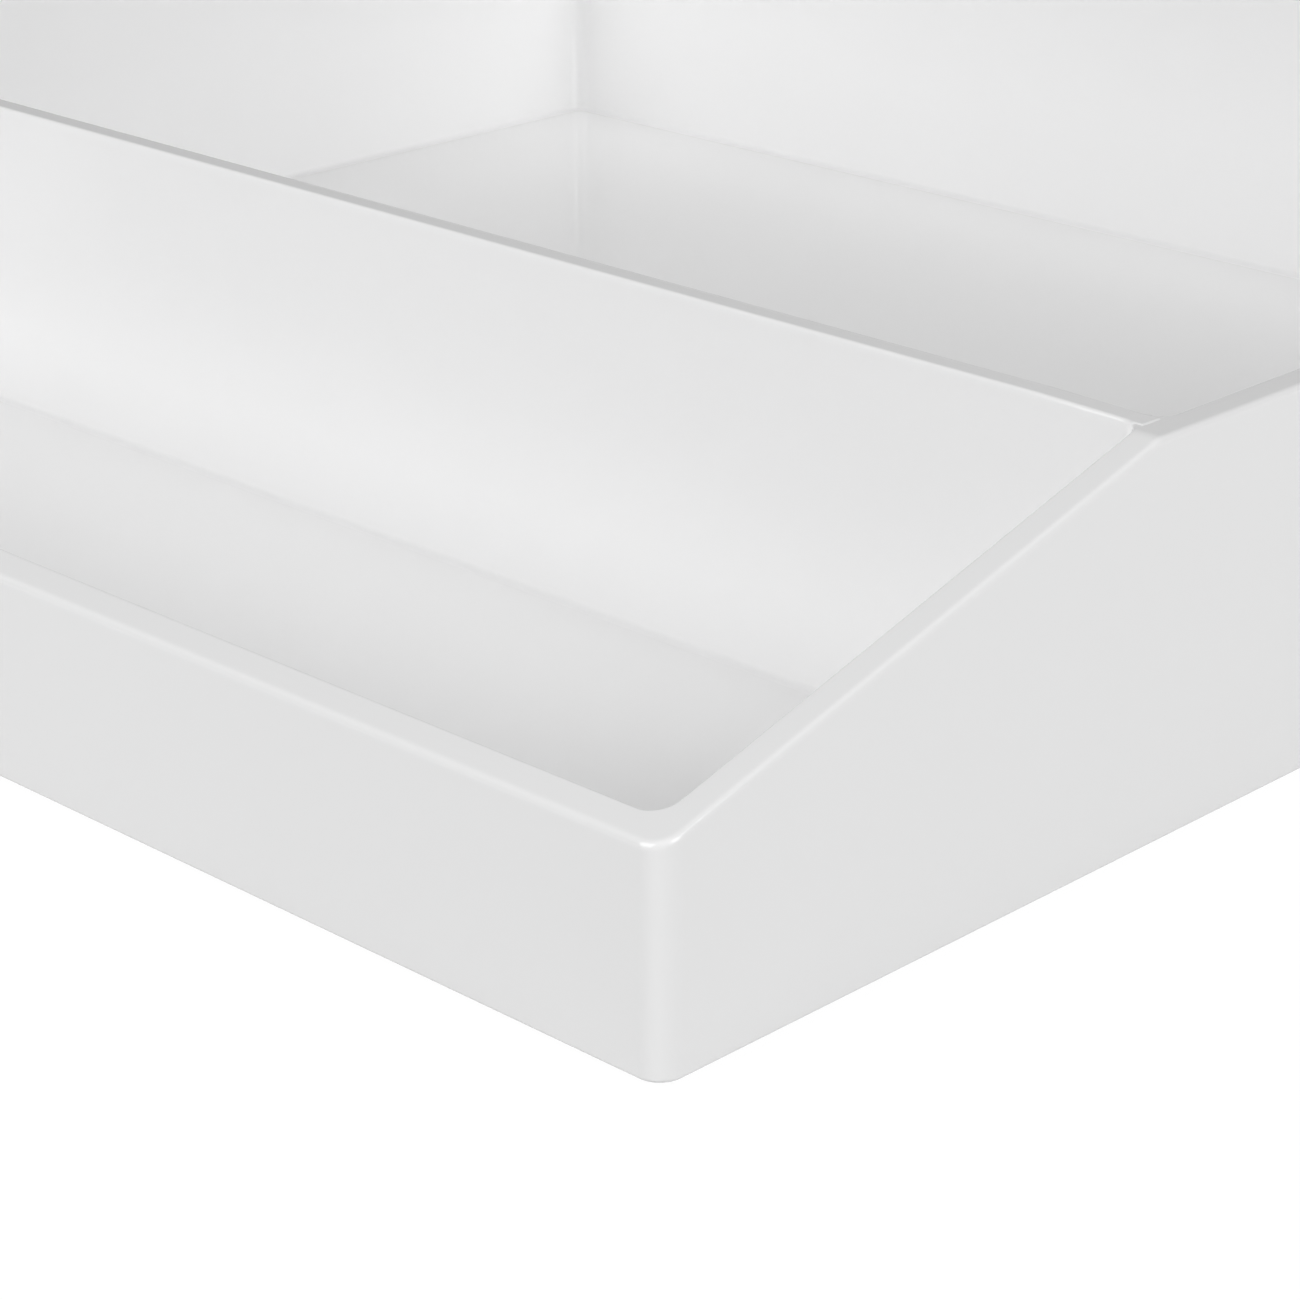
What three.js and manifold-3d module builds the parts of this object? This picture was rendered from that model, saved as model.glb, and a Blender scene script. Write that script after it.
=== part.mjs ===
// Desk drawer organizer: a one-piece moulded tray with a low sloping front, a shallow pen tray ahead of a
// full-width divider, one large rear compartment, and four silicone foot pads stuck into recesses below.
// Millimetres, +Z up. The low front wall faces -Y. The origin lies on the surface that the feet stand on,
// under the middle of the tray.

import * as THREE from 'three';
import { mergeVertices } from 'three/addons/utils/BufferGeometryUtils.js';
import Module from 'manifold-3d';

const wasm = await Module();
wasm.setup();

// Tray, outside
const WIDTH = 240;
const DEPTH = 228.4;
const HEIGHT = 40.2; // lower edge to level rim
const FRONT_HEIGHT = 21.4; // lower edge to the outer edge of the front rim
const OUTER_CORNER_RADIUS = 2.5;
const LOWER_EDGE_RADIUS = 0.4;
const RIM_BEND_RADIUS = 8; // where the sloping rim turns level

// Tray, inside
const WALL = 3.3;
const PEN_FLOOR = 3.1; // floor of the pen tray
const REAR_FLOOR = 2; // floor behind the divider, a step lower
const DIVIDER = 2.65;
const DIVIDER_RISE = 0.35; // level rim up to the divider's top
const PEN_TRAY_DEPTH = 61.9; // clear space, front wall to divider
const BEND_LEAD = 1.6; // upper end of the slope to the divider's front face
const POCKET_CORNER_RADIUS = 2.4;
const FLOOR_FILLET = 0.6;

// Foot pads
const FOOT_DIAMETER = 10;
const FOOT_THICKNESS = 1.4;
const FOOT_EDGE = 0.3; // chamfer around the pad's lower face
const FOOT_INSET = 16; // outer faces of the walls to the pad's centre
const RECESS_DEPTH = 0.8;
const RECESS_CLEARANCE = 0.4; // pad to recess wall
const ADHESIVE_THICKNESS = 0.2;
const ADHESIVE_MARGIN = 0.5; // adhesive's edge short of the pad's edge

// Cutters run past the faces that they cut by this much.
const OVERRUN = 5;
const ARC_STEPS = 4; // curve divisions, two facets each
const FILLET_STEPS = 4;
const ROUND_FACETS = 32;

// Heights and places that follow from the sizes above
const LOWER_EDGE_Z = FOOT_THICKNESS + ADHESIVE_THICKNESS - RECESS_DEPTH;
const RIM_Z = LOWER_EDGE_Z + HEIGHT;
const PEN_FLOOR_Z = LOWER_EDGE_Z + PEN_FLOOR;
const REAR_FLOOR_Z = LOWER_EDGE_Z + REAR_FLOOR;
const FRONT_Y = -DEPTH / 2;
const DIVIDER_FRONT_Y = FRONT_Y + WALL + PEN_TRAY_DEPTH;
const DIVIDER_BACK_Y = DIVIDER_FRONT_Y + DIVIDER;
const INNER_WIDTH = WIDTH - 2 * WALL;

const PLASTIC = { color: 0xf2f2f2, roughness: 0.22, metalness: 0 };
const SILICONE = { color: 0xb9bcbd, roughness: 0.55, metalness: 0 };
const ADHESIVE = { color: 0xd9d2bd, roughness: 0.6, metalness: 0 };

// A closed geometry as a solid that can be joined and cut.
function solid(geometry) {
  geometry.deleteAttribute('normal');
  geometry.deleteAttribute('uv');
  const merged = mergeVertices(geometry);
  const vertProperties = Float32Array.from(merged.attributes.position.array);
  const triVerts = Uint32Array.from(merged.index.array);
  return new wasm.Manifold(new wasm.Mesh({ numProp: 3, vertProperties, triVerts }));
}

// A solid back as a geometry with one smooth normal at each vertex.
function geometryOf(body) {
  const { vertProperties, triVerts } = body.getMesh();
  const geometry = new THREE.BufferGeometry();
  geometry.setAttribute('position', new THREE.BufferAttribute(vertProperties, 3));
  geometry.setIndex(new THREE.BufferAttribute(triVerts, 1));
  geometry.computeVertexNormals();
  return geometry;
}

function namedMesh(name, geometry, look) {
  const mesh = new THREE.Mesh(geometry, new THREE.MeshStandardMaterial(look));
  mesh.name = name;
  return mesh;
}

// A rectangle about the origin with round corners.
function roundedRectangle(width, depth, radius) {
  const x = width / 2 - radius;
  const y = depth / 2 - radius;
  const quarter = Math.PI / 2;
  const shape = new THREE.Shape();
  shape.absarc(x, -y, radius, -quarter, 0);
  shape.absarc(x, y, radius, 0, quarter);
  shape.absarc(-x, y, radius, quarter, 2 * quarter);
  shape.absarc(-x, -y, radius, 2 * quarter, 3 * quarter);
  return shape;
}

// An upright block with round corners between two heights, its end edges rounded by the fillet.
function roundedBlock(width, depth, radius, lowZ, highZ, fillet) {
  const block = new THREE.ExtrudeGeometry(roundedRectangle(width, depth, radius), {
    depth: highZ - lowZ - 2 * fillet,
    curveSegments: ARC_STEPS,
    bevelThickness: fillet,
    bevelSize: fillet,
    bevelOffset: -fillet,
    bevelSegments: FILLET_STEPS,
  });
  return block.translate(0, 0, lowZ + fillet);
}

// Everything under the rim, as a side outline carried across the tray: the slope rises from the front
// wall's outer edge, turns level through an arc just ahead of the divider and runs level to the rear.
function underRim() {
  const bendY = DIVIDER_FRONT_Y - BEND_LEAD;
  const slopeAngle = Math.atan2(HEIGHT - FRONT_HEIGHT, bendY - FRONT_Y);
  const arcY = bendY + RIM_BEND_RADIUS * Math.tan(slopeAngle / 2);
  const upright = Math.PI / 2;
  const frontZ = LOWER_EDGE_Z + FRONT_HEIGHT - OVERRUN * Math.tan(slopeAngle);
  const outline = new THREE.Shape();
  outline.moveTo(FRONT_Y - OVERRUN, LOWER_EDGE_Z - OVERRUN);
  outline.lineTo(FRONT_Y - OVERRUN, frontZ);
  outline.absarc(arcY, RIM_Z - RIM_BEND_RADIUS, RIM_BEND_RADIUS, upright + slopeAngle, upright, true);
  outline.lineTo(-FRONT_Y + OVERRUN, RIM_Z);
  outline.lineTo(-FRONT_Y + OVERRUN, LOWER_EDGE_Z - OVERRUN);
  const length = WIDTH + 2 * OVERRUN;
  const prism = new THREE.ExtrudeGeometry(outline, { depth: length, curveSegments: ARC_STEPS, bevelEnabled: false });
  const acrossTray = new THREE.Matrix4().makeBasis(
    new THREE.Vector3(0, 1, 0),
    new THREE.Vector3(0, 0, 1),
    new THREE.Vector3(1, 0, 0),
  );
  return solid(prism.applyMatrix4(acrossTray).translate(-length / 2, 0, 0));
}

// The space of one compartment, from its floor up through the rim.
function compartment(lowY, highY, floorZ) {
  const high = RIM_Z + OVERRUN + FLOOR_FILLET;
  const block = roundedBlock(INNER_WIDTH, highY - lowY, POCKET_CORNER_RADIUS, floorZ, high, FLOOR_FILLET);
  return solid(block.translate(0, (lowY + highY) / 2, 0));
}

// The divider's body, which ends at the side walls and stands a little higher than the rim.
function dividerRib() {
  const lowZ = PEN_FLOOR_Z;
  const highZ = RIM_Z + DIVIDER_RISE;
  const rib = new THREE.BoxGeometry(INNER_WIDTH, DIVIDER, highZ - lowZ);
  return solid(rib.translate(0, (DIVIDER_FRONT_Y + DIVIDER_BACK_Y) / 2, (lowZ + highZ) / 2));
}

// The centre of each foot pad, by the corner's name.
function footPlaces() {
  const x = WIDTH / 2 - FOOT_INSET;
  const y = DEPTH / 2 - FOOT_INSET;
  return {
    front_left: new THREE.Vector3(-x, -y, 0),
    front_right: new THREE.Vector3(x, -y, 0),
    rear_left: new THREE.Vector3(-x, y, 0),
    rear_right: new THREE.Vector3(x, y, 0),
  };
}

// A round disc standing on the given height.
function disc(radius, lowZ, highZ) {
  const geometry = new THREE.CylinderGeometry(radius, radius, highZ - lowZ, ROUND_FACETS);
  return geometry.rotateX(Math.PI / 2).translate(0, 0, (lowZ + highZ) / 2);
}

function trayShell() {
  const high = RIM_Z + OVERRUN + LOWER_EDGE_RADIUS;
  const outside = solid(roundedBlock(WIDTH, DEPTH, OUTER_CORNER_RADIUS, LOWER_EDGE_Z, high, LOWER_EDGE_RADIUS));
  const penTray = compartment(FRONT_Y + WALL, DIVIDER_FRONT_Y, PEN_FLOOR_Z);
  const rearCompartment = compartment(DIVIDER_BACK_Y, -FRONT_Y - WALL, REAR_FLOOR_Z);
  let shell = outside.intersect(underRim().add(dividerRib())).subtract(penTray).subtract(rearCompartment);
  const recessRadius = FOOT_DIAMETER / 2 + RECESS_CLEARANCE;
  for (const place of Object.values(footPlaces())) {
    const recess = disc(recessRadius, LOWER_EDGE_Z - OVERRUN, LOWER_EDGE_Z + RECESS_DEPTH);
    shell = shell.subtract(solid(recess.translate(place.x, place.y, place.z)));
  }
  return namedMesh('tray_shell', geometryOf(shell), PLASTIC);
}

function footPad(corner, place) {
  const radius = FOOT_DIAMETER / 2;
  const profile = [
    new THREE.Vector2(0, 0),
    new THREE.Vector2(radius - FOOT_EDGE, 0),
    new THREE.Vector2(radius, FOOT_EDGE),
    new THREE.Vector2(radius, FOOT_THICKNESS),
    new THREE.Vector2(0, FOOT_THICKNESS),
  ];
  const geometry = new THREE.LatheGeometry(profile, ROUND_FACETS).rotateX(Math.PI / 2);
  const mesh = namedMesh(`foot_pad_${corner}`, geometry, SILICONE);
  mesh.position.copy(place);
  return mesh;
}

function footAdhesive(corner, place) {
  const geometry = disc(FOOT_DIAMETER / 2 - ADHESIVE_MARGIN, FOOT_THICKNESS, FOOT_THICKNESS + ADHESIVE_THICKNESS);
  const mesh = namedMesh(`foot_adhesive_${corner}`, geometry, ADHESIVE);
  mesh.position.copy(place);
  return mesh;
}

const organizer = new THREE.Group();
organizer.add(trayShell());
for (const [corner, place] of Object.entries(footPlaces())) {
  organizer.add(footPad(corner, place), footAdhesive(corner, place));
}

export default organizer;
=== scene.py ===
"""A glossy white desk drawer organizer: a moulded tray with a sloping front, a divider and foot pads."""

import math

import bmesh
import bpy
import numpy as np
from mathutils import Matrix, Vector
from mathutils.geometry import delaunay_2d_cdt


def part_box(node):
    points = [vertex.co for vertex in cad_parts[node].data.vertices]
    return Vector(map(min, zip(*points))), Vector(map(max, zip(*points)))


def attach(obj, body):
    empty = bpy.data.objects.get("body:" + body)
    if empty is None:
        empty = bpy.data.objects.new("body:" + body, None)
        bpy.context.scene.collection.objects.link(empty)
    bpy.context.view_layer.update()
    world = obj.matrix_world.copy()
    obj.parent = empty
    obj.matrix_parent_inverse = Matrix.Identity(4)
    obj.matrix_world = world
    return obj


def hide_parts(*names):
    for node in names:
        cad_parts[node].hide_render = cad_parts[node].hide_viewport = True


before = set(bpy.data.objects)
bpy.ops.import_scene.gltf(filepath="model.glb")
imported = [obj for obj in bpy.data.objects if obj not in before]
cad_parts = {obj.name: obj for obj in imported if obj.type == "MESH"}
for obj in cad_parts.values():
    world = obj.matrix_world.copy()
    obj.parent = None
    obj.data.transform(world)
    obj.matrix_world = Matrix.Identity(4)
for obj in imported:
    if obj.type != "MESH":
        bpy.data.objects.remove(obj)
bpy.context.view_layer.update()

MM = 0.001

# The tray's box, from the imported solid
SHELL_LOW, SHELL_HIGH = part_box("tray_shell")
HALF_WIDTH = SHELL_HIGH.x
FRONT_Y = SHELL_LOW.y
REAR_Y = SHELL_HIGH.y
LOWER_Z = SHELL_LOW.z
DIVIDER_Z = SHELL_HIGH.z

# Sizes of the moulding, as in the part's source
WALL = 3.3 * MM
PEN_FLOOR_Z = LOWER_Z + 3.1 * MM
REAR_FLOOR_Z = LOWER_Z + 2.0 * MM
FRONT_RIM_Z = LOWER_Z + 21.4 * MM
OUTER_CORNER = 2.5 * MM
POCKET_CORNER = 2.4 * MM
LOWER_EDGE = 0.4 * MM
PEN_TRAY_DEPTH = 61.9 * MM
DIVIDER = 2.65 * MM
DIVIDER_RISE = 0.35 * MM
BEND_LEAD = 1.6 * MM
RECESS_DEPTH = 0.8 * MM
RECESS_CLEARANCE = 0.4 * MM

# Small forms of the visual mesh, which the solid has sharper or plainer
RIM_OUTER_ROUND = 0.7 * MM
RIM_INNER_ROUND = 0.45 * MM
RIM_ROUND_POWER = 2.6  # of the rims' superellipse: 2 would be a circle
RIB_END_ROUND = 0.12 * MM
RIB_END_RISE = 0.1 * MM  # step up from the rim to the divider's ends
RIB_END_FALL = 8.0 * MM  # length over which the divider's top falls to its ends
FLOOR_FILLET = 0.8 * MM
BEND_RADIUS = 4.0 * MM  # where the sloping rim turns level
RECESS_ROUND = 0.15 * MM
PAD_EDGE = 0.3 * MM
PAD_GROOVE_DEPTH = 0.12 * MM
PAD_GROOVE_HALF_WIDTH = 0.5 * MM
PAD_GROOVE_PLACE = 0.62  # radius of the ring groove, as a share of the pad's

# Places that follow
RIM_Z = DIVIDER_Z - DIVIDER_RISE
POCKET_HALF = HALF_WIDTH - WALL
PEN_FRONT_Y = FRONT_Y + WALL
DIVIDER_FRONT_Y = PEN_FRONT_Y + PEN_TRAY_DEPTH
DIVIDER_BACK_Y = DIVIDER_FRONT_Y + DIVIDER
REAR_BACK_Y = REAR_Y - WALL
JUNCTION_LOW_Y = DIVIDER_FRONT_Y - POCKET_CORNER
JUNCTION_HIGH_Y = DIVIDER_BACK_Y + POCKET_CORNER
BEND_Y = DIVIDER_FRONT_Y - BEND_LEAD
CORNERS = ("front_left", "front_right", "rear_left", "rear_right")

# How finely the surfaces are divided
ARC_STEPS = 28
EDGE_STEPS = 12
FILLET_STEPS = 12
SIDE_STEPS = 24
LONG_STEPS = 24
RIM_STEPS = 4
RIB_STEPS = 12
ROUND_STEPS = 64
GROOVE_STEPS = 12
BEND_CROWDING = 2.5  # power that draws the places along a side towards the rim's bend
WELD = 1e-7  # points closer than this become one
PLAN_TOLERANCE = 1e-9  # the same, where the underside is cut into triangles
FILLED_OUTLINE = 2  # kind of output from delaunay_2d_cdt: here, triangles that fill the outline

# The photograph's view: its frame is square, so one number of pixels serves both ways
PHOTO_PIXELS = 1300
FOCAL_PIXELS = 3635.16
VIEW_AZIMUTH = math.radians(44.273)
VIEW_ELEVATION = math.radians(22.056)
NEAR_CORNER_PIXEL = (660.4, 1090.8)
NEAR_CORNER_DEPTH = 294.03 * MM
SENSOR = 36.0  # millimetres, as Blender counts it

# Lamps: azimuth and elevation in degrees, distance, width and height in metres, and the brightness that
# a white surface facing the lamp takes from it
LAMPS = {
    "front_softbox": (-10, 30, 1.2, 0.9, 0.9, 0.545),
    "right_softbox": (87, 26, 1.2, 0.75, 0.85, 0.515),
    "left_fill": (272, 20, 1.2, 0.8, 0.5, 0.12),
}

# Brightness of the room: its light on the tray, how it looks in the plastic's gloss, and to the camera
ROOM_LIGHT = 0.19
ROOM_MIRRORED = 0.3
BACKGROUND = 1.0

# How often light may pass from wall to wall: white plastic sends nearly all of it on
WHITE_BOUNCES = 24

# Colour of the room's light and of the floor's glow
WHITE = (1, 1, 1, 1)

# The floor: its colour where it lights the tray, and its glow and its shaded part where it is seen
FLOOR_SIZE = 30.0
FLOOR_COLOUR = (0.5, 0.5, 0.5, 1)
FLOOR_GLOW = 0.96
FLOOR_SHADED = (0.08, 0.08, 0.08, 1)


class Socket:
    """One output of a node. Arithmetic on it adds Math nodes to the same tree."""

    def __init__(self, tree, output=None):
        self.tree = tree
        self.output = output

    def node(self, kind, settings=None, sockets=None, out=0):
        """Adds a node with settings and values or links for its sockets. Gives one of its outputs."""
        made = self.tree.nodes.new(kind)
        for name, value in (settings or {}).items():
            setattr(made, name, value)
        for name, value in (sockets or {}).items():
            if isinstance(value, Socket):
                self.tree.links.new(value.output, made.inputs[name])
            else:
                made.inputs[name].default_value = value
        return Socket(self.tree, made.outputs[out] if made.outputs else None)

    def math(self, operation, *values):
        """A Math node on the values."""
        return self.node("ShaderNodeMath", {"operation": operation}, dict(enumerate(values)))

    def __add__(self, other):
        return self.math("ADD", self, other)

    def __mul__(self, other):
        return self.math("MULTIPLY", self, other)

    __radd__ = __add__
    __rmul__ = __mul__


def new_tree(owner):
    """An empty node tree of a material or a world, as a socket to add nodes from."""
    owner.use_nodes = True
    owner.node_tree.nodes.clear()
    return Socket(owner.node_tree)


def noise(tree, scale, detail):
    """Fractal noise on the object's coordinates, about 0 to 1, with features 1 / scale metres wide."""
    place = tree.node("ShaderNodeTexCoord", out="Object")
    sockets = {"Vector": place, "Scale": scale, "Detail": detail}
    return tree.node("ShaderNodeTexNoise", {"noise_dimensions": "3D"}, sockets)


def tint(tree, factor, low, high):
    """A colour between two others."""
    # By number, since the Mix node has sockets of the same names for values and vectors
    factor_in, low_in, high_in, colour_out = 0, 6, 7, 2
    sockets = {factor_in: factor, low_in: (*low, 1), high_in: (*high, 1)}
    return tree.node("ShaderNodeMix", {"data_type": "RGBA"}, sockets, out=colour_out)


def bump(tree, height, distance, strength):
    """The normal of a surface raised by a height from 0 to 1 times a distance."""
    sockets = {"Height": height, "Distance": distance, "Strength": strength}
    return tree.node("ShaderNodeBump", None, sockets)


def glossy_white():
    """Polished white plastic: hardly any mottling, a faint ripple from the mould and fine haze."""
    material = bpy.data.materials.new("glossy_white_plastic")
    tree = new_tree(material)
    mottle = noise(tree, scale=22, detail=2)
    haze = noise(tree, scale=900, detail=3)
    ripple = noise(tree, scale=160, detail=1)
    surface = tree.node("ShaderNodeBsdfPrincipled", None, {
        "Base Color": tint(tree, mottle, low=(0.95, 0.95, 0.951), high=(0.965, 0.965, 0.966)),
        "Roughness": 0.05 + 0.03 * haze + 0.02 * mottle,
        "IOR": 1.59,
        "Normal": bump(tree, ripple, distance=0.02 * MM, strength=0.15),
    })
    tree.node("ShaderNodeOutputMaterial", None, {"Surface": surface})
    return material


def grey_silicone():
    """Soft matte silicone with fine grain and slight cloudiness."""
    material = bpy.data.materials.new("grey_silicone")
    tree = new_tree(material)
    cloud = noise(tree, scale=300, detail=2)
    grain = noise(tree, scale=4000, detail=2)
    surface = tree.node("ShaderNodeBsdfPrincipled", None, {
        "Base Color": tint(tree, cloud, low=(0.44, 0.45, 0.46), high=(0.53, 0.54, 0.55)),
        "Roughness": 0.5 + 0.2 * grain,
        "IOR": 1.41,
        "Normal": bump(tree, grain, distance=0.03 * MM, strength=0.5),
    })
    tree.node("ShaderNodeOutputMaterial", None, {"Surface": surface})
    return material


def pale_adhesive():
    """Double-sided adhesive film with small trapped bubbles."""
    material = bpy.data.materials.new("pale_adhesive")
    tree = new_tree(material)
    cells_in_a_metre = 1400.0
    bubble_radius = 0.25  # as a share of a cell
    place = tree.node("ShaderNodeTexCoord", out="Object")
    sockets = {"Vector": place, "Scale": cells_in_a_metre}
    from_middle = tree.node("ShaderNodeTexVoronoi", {"feature": "F1"}, sockets)
    bubbles = tree.math("LESS_THAN", from_middle, bubble_radius)
    surface = tree.node("ShaderNodeBsdfPrincipled", None, {
        "Base Color": tint(tree, bubbles, low=(0.69, 0.64, 0.51), high=(0.78, 0.75, 0.66)),
        "Roughness": 0.55 + 0.15 * bubbles,
        "Normal": bump(tree, bubbles, distance=0.02 * MM, strength=0.4),
    })
    tree.node("ShaderNodeOutputMaterial", None, {"Surface": surface})
    return material


def ray(tree, kind):
    """One for the rays of a kind and zero for others."""
    return tree.node("ShaderNodeLightPath", out=f"Is {kind} Ray")


def mirrored_rays(tree):
    """One for the rays that show a thing by a mirror or through glass."""
    return tree.math("MINIMUM", ray(tree, "Glossy") + ray(tree, "Transmission"), 1.0)


def white_floor():
    """Pale floor: white to the camera and in reflections, with the tray's shadow left faintly in it."""
    material = bpy.data.materials.new("white_floor")
    tree = new_tree(material)
    table = tree.node("ShaderNodeBsdfDiffuse", None, {"Color": FLOOR_COLOUR})
    glow = tree.node("ShaderNodeEmission", None, {"Color": WHITE, "Strength": FLOOR_GLOW})
    shaded = tree.node("ShaderNodeBsdfDiffuse", None, {"Color": FLOOR_SHADED})
    white = tree.node("ShaderNodeAddShader", None, {0: glow, 1: shaded})
    seen = tree.math("MINIMUM", ray(tree, "Camera") + mirrored_rays(tree), 1.0)
    surface = tree.node("ShaderNodeMixShader", None, {0: seen, 1: table, 2: white})
    tree.node("ShaderNodeOutputMaterial", None, {"Surface": surface})
    return material


def rounded_path(half_width, low_y, high_y, radius, side_y):
    """Points and outward normals round a rectangle with round corners, anticlockwise from the front end
    of its right side. The left and right sides have points at the given places along Y, the front and
    rear sides at even steps, and each corner is a quarter of a circle."""
    across = np.linspace(1, -1, LONG_STEPS + 1) * (half_width - radius)
    turn = np.radians(np.linspace(0, 90, ARC_STEPS + 1)[1:-1])
    points, normals = [], []
    sides = (
        (np.full_like(side_y, half_width), side_y),
        (across, np.full_like(across, high_y)),
        (np.full_like(side_y, -half_width), side_y[::-1]),
        (-across, np.full_like(across, low_y)),
    )
    centres = ((1, high_y - radius), (-1, high_y - radius), (-1, low_y + radius), (1, low_y + radius))
    for number, ((x, y), (sign, centre_y)) in enumerate(zip(sides, centres)):
        facing = number * math.pi / 2
        points.append(np.stack([x, y], 1))
        normals.append(np.tile([math.cos(facing), math.sin(facing)], (len(x), 1)))
        round_normals = np.stack([np.cos(facing + turn), np.sin(facing + turn)], 1)
        points.append(np.array([sign * (half_width - radius), centre_y]) + radius * round_normals)
        normals.append(round_normals)
    return np.concatenate(points), np.concatenate(normals)


def rim_height(y):
    """The rim's height along the tray: a rising line, an arc that turns level, and a level line."""
    slope = (RIM_Z - FRONT_RIM_Z) / (BEND_Y - FRONT_Y)
    angle = math.atan(slope)
    level_y = BEND_Y + BEND_RADIUS * math.tan(angle / 2)
    arc_y = level_y - BEND_RADIUS * math.sin(angle)
    along = np.clip(level_y - y, 0, BEND_RADIUS * math.sin(angle))
    turning = RIM_Z - BEND_RADIUS + np.sqrt(BEND_RADIUS**2 - along**2)
    return np.where(y < arc_y, FRONT_RIM_Z + slope * (y - FRONT_Y), turning)


def rounded_step(distance, length):
    """A step up from zero to one over a length, as half a wave of a cosine."""
    return (1 - np.cos(math.pi * np.clip(distance / length, 0, 1))) / 2


def rib_rise(x, y):
    """How far the divider's top stands above the rim: nothing outside the divider's outline, a low
    rounded step at its ends, and its full rise a little further along."""
    from_end = POCKET_HALF - np.abs(x)
    within = np.minimum.reduce((from_end, y - DIVIDER_FRONT_Y, DIVIDER_BACK_Y - y))
    rise = RIB_END_RISE + (DIVIDER_RISE - RIB_END_RISE) * rounded_step(from_end, RIB_END_FALL)
    return rise * rounded_step(within, RIB_END_ROUND)


def topped(plan):
    """Plan points raised to the top surface."""
    x, y = plan[..., 0], plan[..., 1]
    height = rim_height(y) + rib_rise(x, y)
    return np.concatenate([plan, height[..., None]], -1)


def quarter(steps):
    """Sines and cosines of a quarter turn, start to end."""
    turn = np.linspace(0, math.pi / 2, steps + 1)
    return np.stack([np.sin(turn), np.cos(turn)]).clip(0, 1)


def carried(path, profile):
    """A skin made by a profile carried round a path. Each point of the profile has an offset along the
    path's outward normal and a height, which is one number or one for each point of the path."""
    points, normals = path
    rings = []
    for offset, height in profile:
        plan = points + offset * normals
        z = np.broadcast_to(height, len(plan))
        rings.append(np.concatenate([plan, z[:, None]], 1))
    return np.stack(rings)


def edge_profile(path, radius, inward):
    """A rim edge rounded by a quarter of a superellipse, tighter in its middle than a circle. It starts
    on the top surface, which lies on one side of the path or the other, and ends in the upright wall."""
    points, normals = path
    rise = rib_rise(*(points + inward * radius * normals).T)
    profile = []
    for sine, cosine in zip(*quarter(EDGE_STEPS) ** (2 / RIM_ROUND_POWER)):
        out = inward * radius * (1 - sine)
        plan = points + out * normals
        profile.append((out, rim_height(plan[:, 1]) + rise - radius * (1 - cosine)))
    return profile


def quads(rows, columns, closed):
    """Corner indices of the faces of a grid of points, joined round its columns where it is closed."""
    index = np.arange(rows * columns).reshape(rows, columns)
    if closed:
        index = np.concatenate([index, index[:, :1]], 1)
    corners = [index[:-1, :-1], index[1:, :-1], index[1:, 1:], index[:-1, 1:]]
    return np.stack([c.ravel() for c in corners], 1)


def stretch(ring, first, last):
    """The points of a closed ring from one index to another, both kept, and past its end if need be."""
    return np.take(ring, np.arange(first, last + 1), axis=0, mode="wrap")


def smooth_piece(name, patches, triangles=()):
    """One closed smooth mesh from grids of points and loose triangles: equal points are welded, the
    faces are turned outwards, and each point's normal is the mean of its faces' normals by area."""
    points, faces, start = [], [], 0
    for grid, closed in patches:
        rows, columns, _ = grid.shape
        points.append(grid.reshape(-1, 3))
        faces += (quads(rows, columns, closed) + start).tolist()
        start += rows * columns
    for corners, indices in triangles:
        points.append(corners)
        faces += (np.asarray(indices) + start).tolist()
        start += len(corners)
    mesh = bpy.data.meshes.new(name)
    mesh.from_pydata(np.concatenate(points), [], faces)
    work = bmesh.new()
    work.from_mesh(mesh)
    bmesh.ops.remove_doubles(work, verts=work.verts, dist=WELD)
    bmesh.ops.dissolve_degenerate(work, edges=work.edges, dist=WELD)
    bmesh.ops.recalc_face_normals(work, faces=work.faces)
    work.to_mesh(mesh)
    work.free()
    mesh.polygons.foreach_set("use_smooth", np.ones(len(mesh.polygons), bool))
    mesh.normals_split_custom_set_from_vertices(area_normals(mesh))
    piece = bpy.data.objects.new(name, mesh)
    bpy.context.scene.collection.objects.link(piece)
    return piece


def area_normals(mesh):
    """Each vertex's normal: the sum of its faces' normals times their areas, made a unit long."""
    count = len(mesh.polygons)
    facing = np.zeros(count * 3)
    area = np.zeros(count)
    sides = np.zeros(count, int)
    corner = np.zeros(len(mesh.loops), int)
    mesh.polygons.foreach_get("normal", facing)
    mesh.polygons.foreach_get("area", area)
    mesh.polygons.foreach_get("loop_total", sides)
    mesh.loops.foreach_get("vertex_index", corner)
    weighted = np.repeat(facing.reshape(-1, 3) * area[:, None], sides, axis=0)
    total = np.zeros((len(mesh.vertices), 3))
    np.add.at(total, corner, weighted)
    return total / np.linalg.norm(total, axis=1, keepdims=True)


def turned(centre, profile):
    """A skin made by turning a profile of radii and heights about an upright axis."""
    turn = np.linspace(0, 2 * math.pi, ROUND_STEPS, endpoint=False)
    radii, heights = np.array(profile).T
    x = centre[0] + radii[:, None] * np.cos(turn)
    y = centre[1] + radii[:, None] * np.sin(turn)
    return np.stack([x, y, np.broadcast_to(heights[:, None], x.shape)], -1)


def pocket_skin(path, centre, floor_z):
    """One compartment's inside: rounded rim edge, upright wall, floor fillet, and the floor drawn in to
    its centre."""
    profile = edge_profile(path, RIM_INNER_ROUND, 1)
    for sine, cosine in zip(*quarter(FILLET_STEPS)):
        profile.append((-FLOOR_FILLET * (1 - cosine), floor_z + FLOOR_FILLET * (1 - sine)))
    skin = carried(path, profile)
    middle = np.array([*centre, floor_z])
    half_way = (skin[-1] + middle) / 2
    floor = np.stack([half_way, np.broadcast_to(middle, half_way.shape)])
    return np.concatenate([skin, floor])


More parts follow.
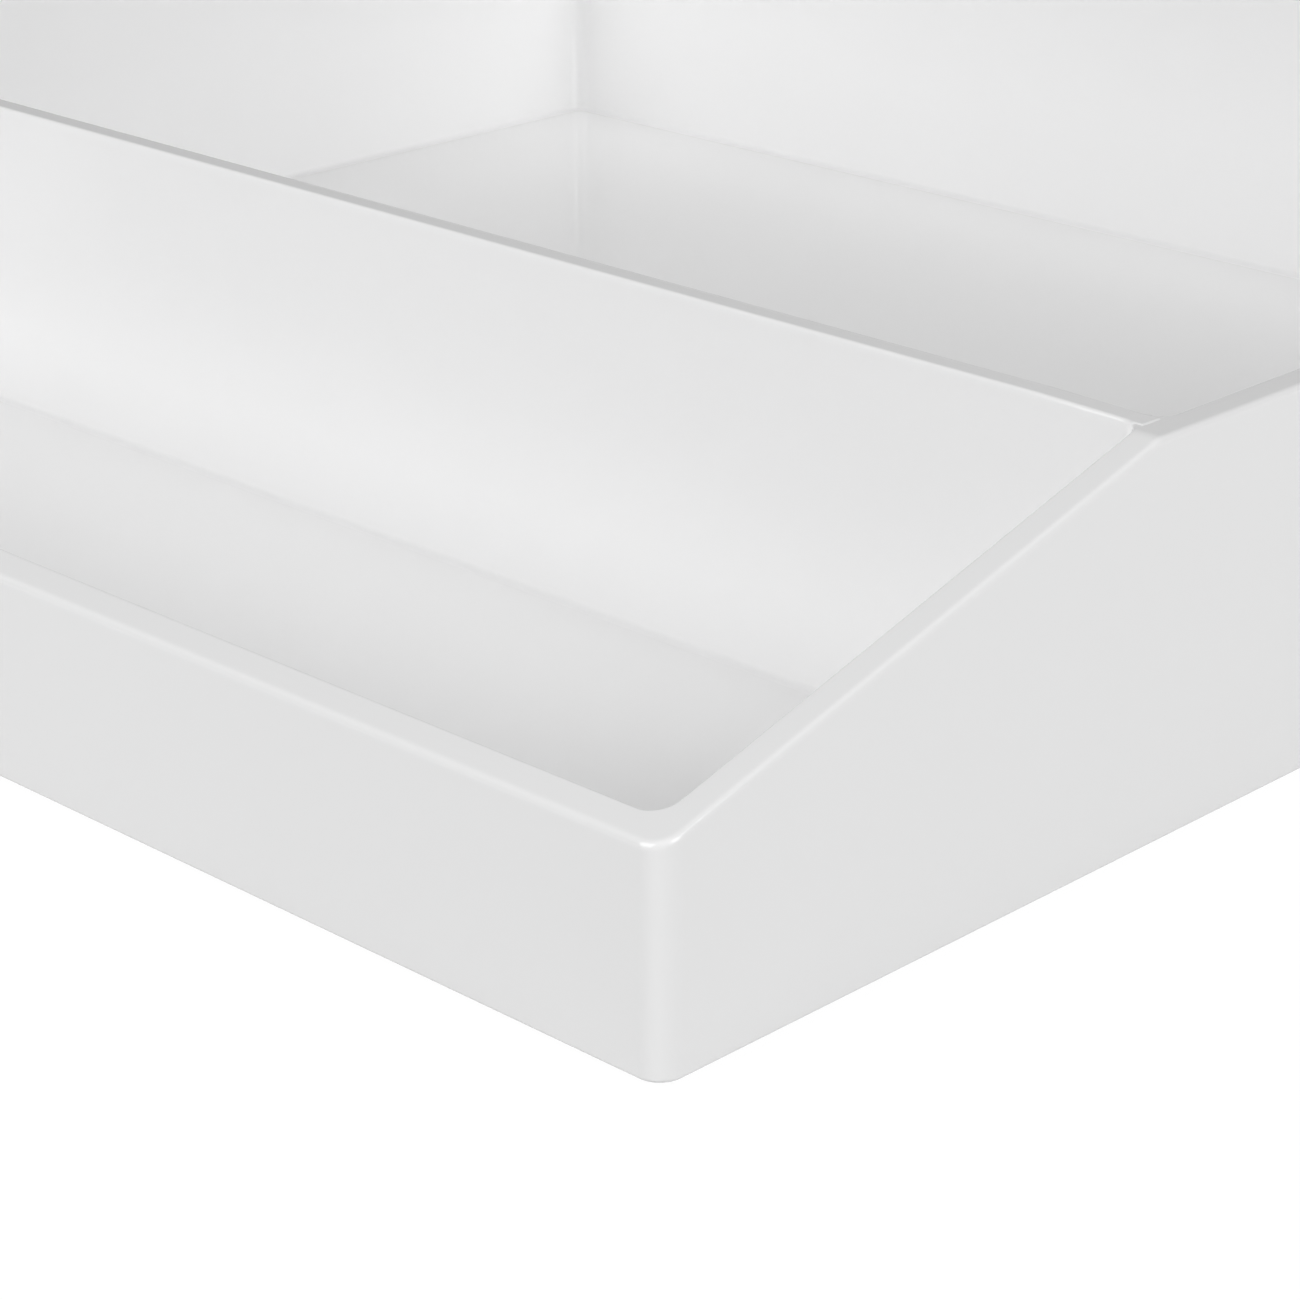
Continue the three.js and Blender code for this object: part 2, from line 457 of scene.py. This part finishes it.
def recess_skin(centre, radius):
    """A foot pad's recess: rounded mouth, short wall, rounded inner corner and flat ceiling."""
    ceiling = LOWER_Z + RECESS_DEPTH
    profile = []
    for sine, cosine in zip(*quarter(EDGE_STEPS)):
        profile.append((radius + RECESS_ROUND * (1 - sine), LOWER_Z + RECESS_ROUND * (1 - cosine)))
    for sine, cosine in zip(*quarter(EDGE_STEPS)):
        profile.append((radius - RECESS_ROUND * (1 - cosine), ceiling - RECESS_ROUND * (1 - sine)))
    profile.append((0, ceiling))
    return turned(centre, profile)


def underside(outline, mouths):
    """The flat underside, as triangles between its outline and the recesses' round mouths."""
    loops = [loop[:, :2] for loop in (outline, *mouths)]
    plan = [Vector(point) for point in np.concatenate(loops)]
    edges, start = [], 0
    for loop in loops:
        index = np.arange(len(loop))
        edges += (np.stack([index, np.roll(index, -1)], 1) + start).tolist()
        start += len(loop)
    points, _, filling = delaunay_2d_cdt(plan, edges, [], FILLED_OUTLINE, PLAN_TOLERANCE)[:3]
    corners = np.array([(point.x, point.y, LOWER_Z) for point in points])
    triangles = np.array(filling)

    # The filling also spans the mouths: its triangles there are left out
    middles = corners[triangles].mean(axis=1)[:, :2]
    kept = np.ones(len(triangles), bool)
    for mouth in loops[1:]:
        centre = mouth.mean(axis=0)
        radius = np.linalg.norm(mouth[0] - centre)
        kept &= np.linalg.norm(middles - centre, axis=1) > radius
    return corners, triangles[kept]


def junction_rows(low, high):
    """Places across the divider's end from one compartment's edge to the other, closer together where
    the divider's top steps up from the rim."""
    front = np.maximum(low, DIVIDER_FRONT_Y)
    back = np.minimum(high, DIVIDER_BACK_Y)
    stops = np.broadcast_arrays(
        low, front, DIVIDER_FRONT_Y + RIM_INNER_ROUND, DIVIDER_BACK_Y - RIM_INNER_ROUND, back, high
    )
    parts = [np.linspace(first, last, RIB_STEPS + 1)[1:] for first, last in zip(stops, stops[1:])]
    return np.concatenate([stops[0][None], *parts])


def foot_centre(corner):
    """The middle of a foot pad in plan."""
    low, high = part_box(f"foot_pad_{corner}")
    return (low.x + high.x) / 2, (low.y + high.y) / 2


def between(low, high, share):
    """A share of the way from one value to another."""
    return low + share * (high - low)


def tray_shell():
    """The whole moulding: outside, two compartments, the rim and divider tops, and the underside."""
    # Places along the sides: close together where the rim bends, and across the divider's end
    even = np.linspace(0, 1, SIDE_STEPS + 1)
    toward_bend = 1 - (1 - even) ** BEND_CROWDING
    outer_pen = between(FRONT_Y + OUTER_CORNER, JUNCTION_LOW_Y, toward_bend)
    outer_rear = between(JUNCTION_HIGH_Y, REAR_Y - OUTER_CORNER, even)
    outer_junction = junction_rows(JUNCTION_LOW_Y, JUNCTION_HIGH_Y)[1:-1]
    outer_y = np.concatenate([outer_pen, outer_junction, outer_rear])
    pen_y = between(PEN_FRONT_Y + POCKET_CORNER, JUNCTION_LOW_Y, toward_bend)
    rear_y = between(JUNCTION_HIGH_Y, REAR_BACK_Y - POCKET_CORNER, even)
    outer_path = rounded_path(HALF_WIDTH, FRONT_Y, REAR_Y, OUTER_CORNER, outer_y)
    pen_path = rounded_path(POCKET_HALF, PEN_FRONT_Y, DIVIDER_FRONT_Y, POCKET_CORNER, pen_y)
    rear_path = rounded_path(POCKET_HALF, DIVIDER_BACK_Y, REAR_BACK_Y, POCKET_CORNER, rear_y)

    # Outside: rounded rim edge, upright wall and rounded lower edge
    profile = edge_profile(outer_path, RIM_OUTER_ROUND, -1)
    for sine, cosine in zip(*quarter(EDGE_STEPS)):
        profile.append((-LOWER_EDGE * (1 - cosine), LOWER_Z + LOWER_EDGE * (1 - sine)))
    outside = carried(outer_path, profile)
    pen = pocket_skin(pen_path, (0, (PEN_FRONT_Y + DIVIDER_FRONT_Y) / 2), PEN_FLOOR_Z)
    rear = pocket_skin(rear_path, (0, (DIVIDER_BACK_Y + REAR_BACK_Y) / 2), REAR_FLOOR_Z)

    # Tops of the walls, as strips between the outer edge and each compartment's edge. A ring starts at the
    # front end of its right side. These are a compartment's numbers of points on a left or right side,
    # within a corner's arc, and from one side to the other round the front or the rear.
    side = SIDE_STEPS + 1
    arc = ARC_STEPS - 1
    end = arc + LONG_STEPS + 1 + arc
    outer_top, pen_top, rear_top = (skin[0][:, :2] for skin in (outside, pen, rear))
    outer_left = len(outer_y) + end
    crossing = SIDE_STEPS + len(outer_junction) + 1
    pen_stretch = stretch(pen_top, side + end, len(pen_top) + SIDE_STEPS)
    front_stretch = stretch(outer_top, outer_left + crossing, len(outer_top) + SIDE_STEPS)
    rear_stretch = stretch(rear_top, 0, 2 * side + end - 1)
    back_stretch = stretch(outer_top, crossing, outer_left + SIDE_STEPS)
    share = np.linspace(0, 1, RIM_STEPS + 1)[:, None, None]
    front_rim = topped(between(pen_stretch, front_stretch, share))
    rear_rim = topped(between(rear_stretch, back_stretch, share))

    # Top of the divider and of the walls at its ends, as rows from the pen tray's edge to the rear edge
    right_rim = between(front_stretch[-1], pen_stretch[-1], share[:-1, 0])
    left_rim = between(pen_stretch[0], front_stretch[0], share[1:, 0])
    low_edge = np.concatenate([right_rim, stretch(pen_top, SIDE_STEPS, side + end), left_rim])
    right_rim = between(back_stretch[0], rear_stretch[0], share[:-1, 0])
    left_rim = between(rear_stretch[-1], back_stretch[-1], share[1:, 0])
    rear_front = stretch(rear_top, 2 * side + end - 1, len(rear_top))[::-1]
    high_edge = np.concatenate([right_rim, rear_front, left_rim])
    along = junction_rows(low_edge[:, 1], high_edge[:, 1])
    divider_top = topped(np.stack([np.broadcast_to(low_edge[:, 0], along.shape), along], -1))

    # Underside with the four recesses
    pad_low, pad_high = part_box("foot_pad_front_left")
    radius = (pad_high.x - pad_low.x) / 2 + RECESS_CLEARANCE
    recesses = [recess_skin(foot_centre(corner), radius) for corner in CORNERS]
    mouths = [recess[0] for recess in recesses]
    patches = [(skin, True) for skin in (outside, pen, rear)]
    patches += [(strip, False) for strip in (front_rim, rear_rim, divider_top)]
    patches += [(recess, True) for recess in recesses]
    return smooth_piece("moulded_tray", patches, [underside(outside[-1], mouths)])


def foot_pad(corner):
    """A silicone pad: rounded edges, shallow ring groove underneath, flat top."""
    low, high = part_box(f"foot_pad_{corner}")
    radius = (high.x - low.x) / 2
    top_edge = PAD_EDGE / 2
    profile = [(0, low.z)]
    for across in np.linspace(-1, 1, GROOVE_STEPS + 1):
        out = PAD_GROOVE_PLACE * radius + PAD_GROOVE_HALF_WIDTH * across
        depth = PAD_GROOVE_DEPTH * (1 + math.cos(math.pi * across)) / 2
        profile.append((out, low.z + depth))
    for sine, cosine in zip(*quarter(EDGE_STEPS)):
        profile.append((radius - PAD_EDGE * (1 - sine), low.z + PAD_EDGE * (1 - cosine)))
    for sine, cosine in zip(*quarter(EDGE_STEPS)):
        profile.append((radius - top_edge * (1 - cosine), high.z - top_edge * (1 - sine)))
    profile.append((0, high.z))
    return smooth_piece(f"silicone_pad_{corner}", [(turned(foot_centre(corner), profile), True)])


def foot_adhesive(corner):
    """The adhesive disc: a thin film with a softly bulging rim."""
    low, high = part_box(f"foot_adhesive_{corner}")
    radius = (high.x - low.x) / 2
    half = (high.z - low.z) / 2
    swell = np.linspace(-1, 1, 2 * EDGE_STEPS + 1)
    rim = [(radius - half * (1 - math.sqrt(1 - s * s)), low.z + half * (1 + s)) for s in swell]
    profile = [(0, low.z), *rim, (0, high.z)]
    return smooth_piece(f"adhesive_disc_{corner}", [(turned(foot_centre(corner), profile), True)])


def dress(piece, node, material):
    """Gives a piece its material, puts it under the part's root body, and hides the imported solid it
    stands for.
    """
    piece.data.materials.append(material)
    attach(piece, "root")
    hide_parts(node)


def direction(azimuth, elevation):
    """Unit vector towards a viewer: azimuth 0 is in front, along -Y, and 90 degrees is on the right."""
    flat = math.cos(elevation)
    return Vector((math.sin(azimuth) * flat, -math.cos(azimuth) * flat, math.sin(elevation)))


def photo_camera():
    """The photograph's camera. It puts the tray's near lower corner on its pixel, at its depth."""
    back = direction(VIEW_AZIMUTH, VIEW_ELEVATION)
    right = Vector((math.cos(VIEW_AZIMUTH), math.sin(VIEW_AZIMUTH), 0))
    up = back.cross(right)
    corner = Vector((HALF_WIDTH, FRONT_Y, LOWER_Z))
    pixel = NEAR_CORNER_DEPTH / FOCAL_PIXELS
    middle = PHOTO_PIXELS / 2
    aside = (NEAR_CORNER_PIXEL[0] - middle) * pixel
    below = (NEAR_CORNER_PIXEL[1] - middle) * pixel
    data = bpy.data.cameras.new("photo_camera")
    data.sensor_width = SENSOR
    data.lens = FOCAL_PIXELS / PHOTO_PIXELS * SENSOR
    camera = bpy.data.objects.new("photo_camera", data)
    turn = Matrix((right, up, back)).transposed()
    place = corner + back * NEAR_CORNER_DEPTH - right * aside + up * below
    camera.matrix_world = Matrix.Translation(place) @ turn.to_4x4()
    bpy.context.scene.collection.objects.link(camera)
    bpy.context.scene.camera = camera


def lamp(name, azimuth, elevation, distance, width, height, level):
    """A soft lamp aimed at the tray. A white surface facing it looks about as bright as its level."""
    data = bpy.data.lights.new(name, "AREA")
    data.shape = "RECTANGLE"
    data.size = width
    data.size_y = height
    data.energy = level * math.pi**2 * distance**2
    made = bpy.data.objects.new(name, data)
    back = direction(math.radians(azimuth), math.radians(elevation))
    made.location = back * distance
    made.rotation_mode = "QUATERNION"
    made.rotation_quaternion = back.to_track_quat("Z", "Y")
    bpy.context.scene.collection.objects.link(made)


def studio():
    """Pale floor, soft lamps, and a room that lights the tray evenly and is white behind it."""
    half = FLOOR_SIZE / 2
    corners = [(-half, -half, 0), (half, -half, 0), (half, half, 0), (-half, half, 0)]
    mesh = bpy.data.meshes.new("floor")
    mesh.from_pydata(corners, [], [(0, 1, 2, 3)])
    mesh.materials.append(white_floor())
    floor = bpy.data.objects.new("floor", mesh)
    bpy.context.scene.collection.objects.link(floor)
    for name, settings in LAMPS.items():
        lamp(name, *settings)
    world = bpy.data.worlds.new("studio")
    bpy.context.scene.world = world
    tree = new_tree(world)
    seen = (BACKGROUND - ROOM_LIGHT) * ray(tree, "Camera")
    mirrored = (ROOM_MIRRORED - ROOM_LIGHT) * mirrored_rays(tree)
    level = ROOM_LIGHT + seen + mirrored
    light = tree.node("ShaderNodeBackground", None, {"Color": WHITE, "Strength": level})
    tree.node("ShaderNodeOutputWorld", None, {"Surface": light})
    scene = bpy.context.scene
    scene.cycles.max_bounces = WHITE_BOUNCES
    scene.cycles.diffuse_bounces = WHITE_BOUNCES
    scene.view_settings.view_transform = "Standard"


photo_camera()
studio()
plastic = glossy_white()
silicone = grey_silicone()
adhesive = pale_adhesive()
dress(tray_shell(), "tray_shell", plastic)
for corner in CORNERS:
    dress(foot_pad(corner), f"foot_pad_{corner}", silicone)
    dress(foot_adhesive(corner), f"foot_adhesive_{corner}", adhesive)
